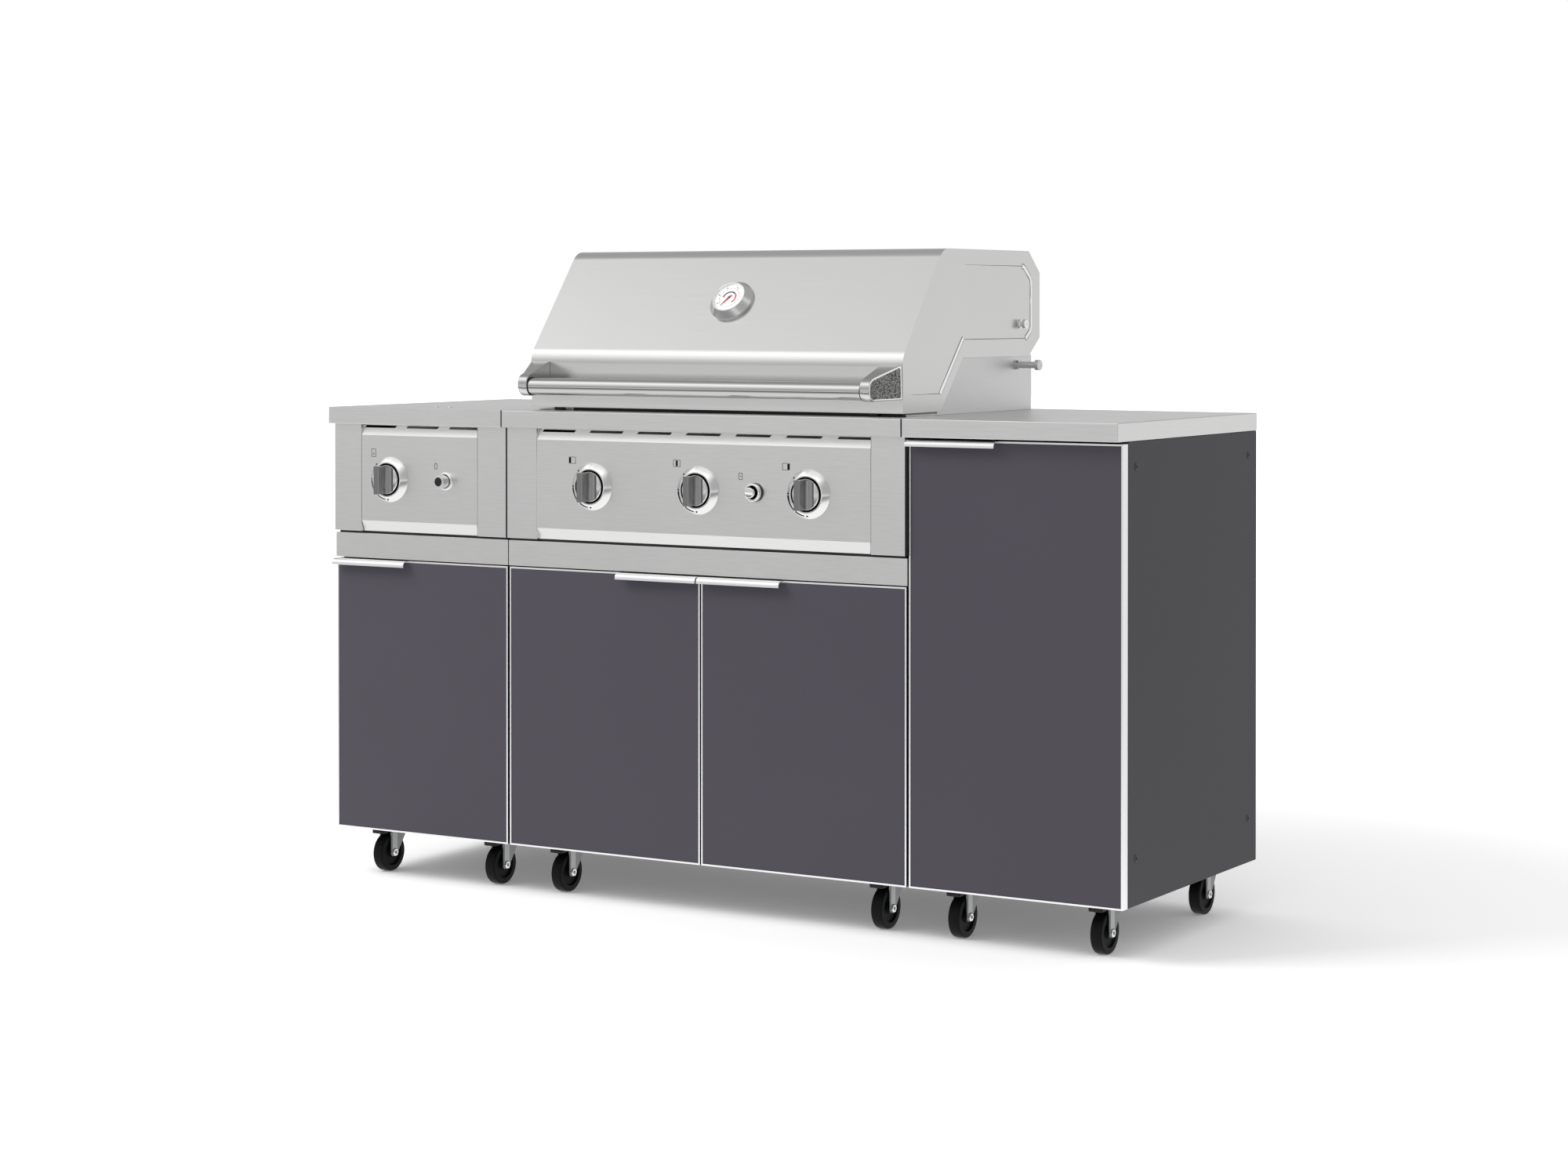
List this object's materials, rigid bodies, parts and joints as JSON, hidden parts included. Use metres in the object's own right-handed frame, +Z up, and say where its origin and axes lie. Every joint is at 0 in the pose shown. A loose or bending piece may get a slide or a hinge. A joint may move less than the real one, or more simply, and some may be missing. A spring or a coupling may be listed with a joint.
{
  "type": "outdoor kitchen island",
  "caption": "Free-standing outdoor kitchen island on casters: gas grill with a hinged hood, side burner under a flush lid, and slate-door cabinets under stainless worktops.",
  "frame": {"origin": "centre of the bounding box on the floor", "axes": "+X to the right end seen from the front (longest), +Y to the rear, +Z up"},
  "size_m": [1.7096, 0.636, 1.231],
  "materials": {
    "stainless": "brushed, horizontal grain",
    "slate_paint": "fine-textured dark slate powder coat",
    "aluminium_edge": "satin anodised",
    "cast_iron": "matt enamel",
    "polished_metal": "polished",
    "caster_black": "smooth black",
    "zinc_steel": "zinc-plated, smooth"
  },
  "bodies": {
    "island": {"side_burner_cabinet": "slate_paint", "grill_cabinet": "slate_paint", "storage_cabinet": "slate_paint", "side_burner_worktop": "stainless", "grill_worktop": "stainless", "storage_worktop": "stainless", "side_burner_rail": "stainless", "grill_rail": "stainless", "side_burner_control_panel": "stainless", "grill_control_panel": "stainless", "firebox": "stainless", "cooking_grate": "cast_iron", "burner_manifold": "zinc_steel", "flame_tamer": "stainless", "side_burner_pan": "stainless", "side_burner": "cast_iron", "side_burner_grate": "cast_iron"},
    "hood": {"hood_shell": "stainless", "hood_handle": "stainless", "hood_thermometer": "polished_metal"},
    "side_burner_door": {"side_burner_door_frame": "aluminium_edge", "side_burner_door_panel": "slate_paint"},
    "left_grill_door": {"left_grill_door_frame": "aluminium_edge", "left_grill_door_panel": "slate_paint"},
    "right_grill_door": {"right_grill_door_frame": "aluminium_edge", "right_grill_door_panel": "slate_paint"},
    "storage_door": {"storage_door_frame": "aluminium_edge", "storage_door_panel": "slate_paint"},
    "side_burner_knob": {"side_burner_knob": "polished_metal"},
    "left_burner_knob": {"left_burner_knob": "polished_metal"},
    "middle_burner_knob": {"middle_burner_knob": "polished_metal"},
    "right_burner_knob": {"right_burner_knob": "polished_metal"},
    "side_burner_igniter": {"side_burner_igniter": "polished_metal"},
    "grill_igniter": {"grill_igniter": "polished_metal"},
    "side_burner_lid": {"side_burner_lid": "stainless"},
    "grease_tray": {"grease_tray": "stainless"},
    "side_front_left_swivel": {"side_front_left_fork": "zinc_steel"},
    "side_front_left_roller": {"side_front_left_wheel": "caster_black"},
    "side_front_right_swivel": {"side_front_right_fork": "zinc_steel"},
    "side_front_right_roller": {"side_front_right_wheel": "caster_black"},
    "side_rear_left_swivel": {"side_rear_left_fork": "zinc_steel"},
    "side_rear_left_roller": {"side_rear_left_wheel": "caster_black"},
    "side_rear_right_swivel": {"side_rear_right_fork": "zinc_steel"},
    "side_rear_right_roller": {"side_rear_right_wheel": "caster_black"},
    "grill_front_left_swivel": {"grill_front_left_fork": "zinc_steel"},
    "grill_front_left_roller": {"grill_front_left_wheel": "caster_black"},
    "grill_front_right_swivel": {"grill_front_right_fork": "zinc_steel"},
    "grill_front_right_roller": {"grill_front_right_wheel": "caster_black"},
    "grill_rear_left_swivel": {"grill_rear_left_fork": "zinc_steel"},
    "grill_rear_left_roller": {"grill_rear_left_wheel": "caster_black"},
    "grill_rear_right_swivel": {"grill_rear_right_fork": "zinc_steel"},
    "grill_rear_right_roller": {"grill_rear_right_wheel": "caster_black"},
    "storage_front_left_swivel": {"storage_front_left_fork": "zinc_steel"},
    "storage_front_left_roller": {"storage_front_left_wheel": "caster_black"},
    "storage_front_right_swivel": {"storage_front_right_fork": "zinc_steel"},
    "storage_front_right_roller": {"storage_front_right_wheel": "caster_black"},
    "storage_rear_left_swivel": {"storage_rear_left_fork": "zinc_steel"},
    "storage_rear_left_roller": {"storage_rear_left_wheel": "caster_black"},
    "storage_rear_right_swivel": {"storage_rear_right_fork": "zinc_steel"},
    "storage_rear_right_roller": {"storage_rear_right_wheel": "caster_black"}
  },
  "joints": [
    {"name": "hood_hinge", "type": "hinge", "parent": "island", "child": "hood", "pos_m": [0, 0.2143, 1.0134], "axis": [-1, 0, 0], "range_deg": [0, 75]},
    {"name": "side_burner_door_hinge", "type": "hinge", "parent": "island", "child": "side_burner_door", "pos_m": [-0.4375, -0.2705, 0.36125], "axis": [0, 0, 1], "range_deg": [0, 100]},
    {"name": "left_grill_door_hinge", "type": "hinge", "parent": "island", "child": "left_grill_door", "pos_m": [-0.4325, -0.2705, 0.36125], "axis": [0, 0, 1], "range_deg": [-100, 0]},
    {"name": "right_grill_door_hinge", "type": "hinge", "parent": "island", "child": "right_grill_door", "pos_m": [0.4325, -0.2705, 0.36125], "axis": [0, 0, 1], "range_deg": [0, 100]},
    {"name": "storage_door_hinge", "type": "hinge", "parent": "island", "child": "storage_door", "pos_m": [0.8525, -0.2705, 0.4925], "axis": [0, 0, 1], "range_deg": [0, 100]},
    {"name": "side_burner_knob_turn", "type": "hinge", "parent": "island", "child": "side_burner_knob", "pos_m": [-0.716, -0.2775, 0.7865], "axis": [0, -1, 0], "range_deg": [0, 180]},
    {"name": "left_burner_knob_turn", "type": "hinge", "parent": "island", "child": "left_burner_knob", "pos_m": [-0.236, -0.2775, 0.7865], "axis": [0, -1, 0], "range_deg": [0, 180]},
    {"name": "middle_burner_knob_turn", "type": "hinge", "parent": "island", "child": "middle_burner_knob", "pos_m": [0, -0.2775, 0.7865], "axis": [0, -1, 0], "range_deg": [0, 180]},
    {"name": "right_burner_knob_turn", "type": "hinge", "parent": "island", "child": "right_burner_knob", "pos_m": [0.236, -0.2775, 0.7865], "axis": [0, -1, 0], "range_deg": [0, 180]},
    {"name": "side_burner_igniter_press", "type": "slide", "parent": "island", "child": "side_burner_igniter", "axis": [0, 1, 0], "range_m": [0, 0.005], "stiffness_N_per_m": 800},
    {"name": "grill_igniter_press", "type": "slide", "parent": "island", "child": "grill_igniter", "axis": [0, 1, 0], "range_m": [0, 0.005], "stiffness_N_per_m": 800},
    {"name": "side_burner_lid_hinge", "type": "hinge", "parent": "island", "child": "side_burner_lid", "pos_m": [-0.645, 0.2095, 0.927], "axis": [-1, 0, 0], "range_deg": [0, 100]},
    {"name": "grease_tray_slide", "type": "slide", "parent": "island", "child": "grease_tray", "axis": [0, 1, 0], "range_m": [0, 0.4]},
    {"name": "side_front_left_swivel_joint", "type": "hinge", "parent": "island", "child": "side_front_left_swivel", "pos_m": [-0.79, -0.1655, 0.092], "axis": [0, 0, 1], "continuous": true},
    {"name": "side_front_left_axle_joint", "type": "hinge", "parent": "side_front_left_swivel", "child": "side_front_left_roller", "pos_m": [-0.79, -0.1875, 0.0375], "axis": [1, 0, 0], "continuous": true},
    {"name": "side_front_right_swivel_joint", "type": "hinge", "parent": "island", "child": "side_front_right_swivel", "pos_m": [-0.515, -0.1655, 0.092], "axis": [0, 0, 1], "continuous": true},
    {"name": "side_front_right_axle_joint", "type": "hinge", "parent": "side_front_right_swivel", "child": "side_front_right_roller", "pos_m": [-0.515, -0.1875, 0.0375], "axis": [1, 0, 0], "continuous": true},
    {"name": "side_rear_left_swivel_joint", "type": "hinge", "parent": "island", "child": "side_rear_left_swivel", "pos_m": [-0.79, 0.2545, 0.092], "axis": [0, 0, 1], "continuous": true},
    {"name": "side_rear_left_axle_joint", "type": "hinge", "parent": "side_rear_left_swivel", "child": "side_rear_left_roller", "pos_m": [-0.79, 0.2325, 0.0375], "axis": [1, 0, 0], "continuous": true},
    {"name": "side_rear_right_swivel_joint", "type": "hinge", "parent": "island", "child": "side_rear_right_swivel", "pos_m": [-0.515, 0.2545, 0.092], "axis": [0, 0, 1], "continuous": true},
    {"name": "side_rear_right_axle_joint", "type": "hinge", "parent": "side_rear_right_swivel", "child": "side_rear_right_roller", "pos_m": [-0.515, 0.2325, 0.0375], "axis": [1, 0, 0], "continuous": true},
    {"name": "grill_front_left_swivel_joint", "type": "hinge", "parent": "island", "child": "grill_front_left_swivel", "pos_m": [-0.358, -0.1655, 0.092], "axis": [0, 0, 1], "continuous": true},
    {"name": "grill_front_left_axle_joint", "type": "hinge", "parent": "grill_front_left_swivel", "child": "grill_front_left_roller", "pos_m": [-0.358, -0.1875, 0.0375], "axis": [1, 0, 0], "continuous": true},
    {"name": "grill_front_right_swivel_joint", "type": "hinge", "parent": "island", "child": "grill_front_right_swivel", "pos_m": [0.345, -0.1655, 0.092], "axis": [0, 0, 1], "continuous": true},
    {"name": "grill_front_right_axle_joint", "type": "hinge", "parent": "grill_front_right_swivel", "child": "grill_front_right_roller", "pos_m": [0.345, -0.1875, 0.0375], "axis": [1, 0, 0], "continuous": true},
    {"name": "grill_rear_left_swivel_joint", "type": "hinge", "parent": "island", "child": "grill_rear_left_swivel", "pos_m": [-0.358, 0.2545, 0.092], "axis": [0, 0, 1], "continuous": true},
    {"name": "grill_rear_left_axle_joint", "type": "hinge", "parent": "grill_rear_left_swivel", "child": "grill_rear_left_roller", "pos_m": [-0.358, 0.2325, 0.0375], "axis": [1, 0, 0], "continuous": true},
    {"name": "grill_rear_right_swivel_joint", "type": "hinge", "parent": "island", "child": "grill_rear_right_swivel", "pos_m": [0.345, 0.2545, 0.092], "axis": [0, 0, 1], "continuous": true},
    {"name": "grill_rear_right_axle_joint", "type": "hinge", "parent": "grill_rear_right_swivel", "child": "grill_rear_right_roller", "pos_m": [0.345, 0.2325, 0.0375], "axis": [1, 0, 0], "continuous": true},
    {"name": "storage_front_left_swivel_joint", "type": "hinge", "parent": "island", "child": "storage_front_left_swivel", "pos_m": [0.502, -0.1655, 0.092], "axis": [0, 0, 1], "continuous": true},
    {"name": "storage_front_left_axle_joint", "type": "hinge", "parent": "storage_front_left_swivel", "child": "storage_front_left_roller", "pos_m": [0.502, -0.1875, 0.0375], "axis": [1, 0, 0], "continuous": true},
    {"name": "storage_front_right_swivel_joint", "type": "hinge", "parent": "island", "child": "storage_front_right_swivel", "pos_m": [0.78, -0.1655, 0.092], "axis": [0, 0, 1], "continuous": true},
    {"name": "storage_front_right_axle_joint", "type": "hinge", "parent": "storage_front_right_swivel", "child": "storage_front_right_roller", "pos_m": [0.78, -0.1875, 0.0375], "axis": [1, 0, 0], "continuous": true},
    {"name": "storage_rear_left_swivel_joint", "type": "hinge", "parent": "island", "child": "storage_rear_left_swivel", "pos_m": [0.502, 0.2545, 0.092], "axis": [0, 0, 1], "continuous": true},
    {"name": "storage_rear_left_axle_joint", "type": "hinge", "parent": "storage_rear_left_swivel", "child": "storage_rear_left_roller", "pos_m": [0.502, 0.2325, 0.0375], "axis": [1, 0, 0], "continuous": true},
    {"name": "storage_rear_right_swivel_joint", "type": "hinge", "parent": "island", "child": "storage_rear_right_swivel", "pos_m": [0.78, 0.2545, 0.092], "axis": [0, 0, 1], "continuous": true},
    {"name": "storage_rear_right_axle_joint", "type": "hinge", "parent": "storage_rear_right_swivel", "child": "storage_rear_right_roller", "pos_m": [0.78, 0.2325, 0.0375], "axis": [1, 0, 0], "continuous": true}
  ]
}
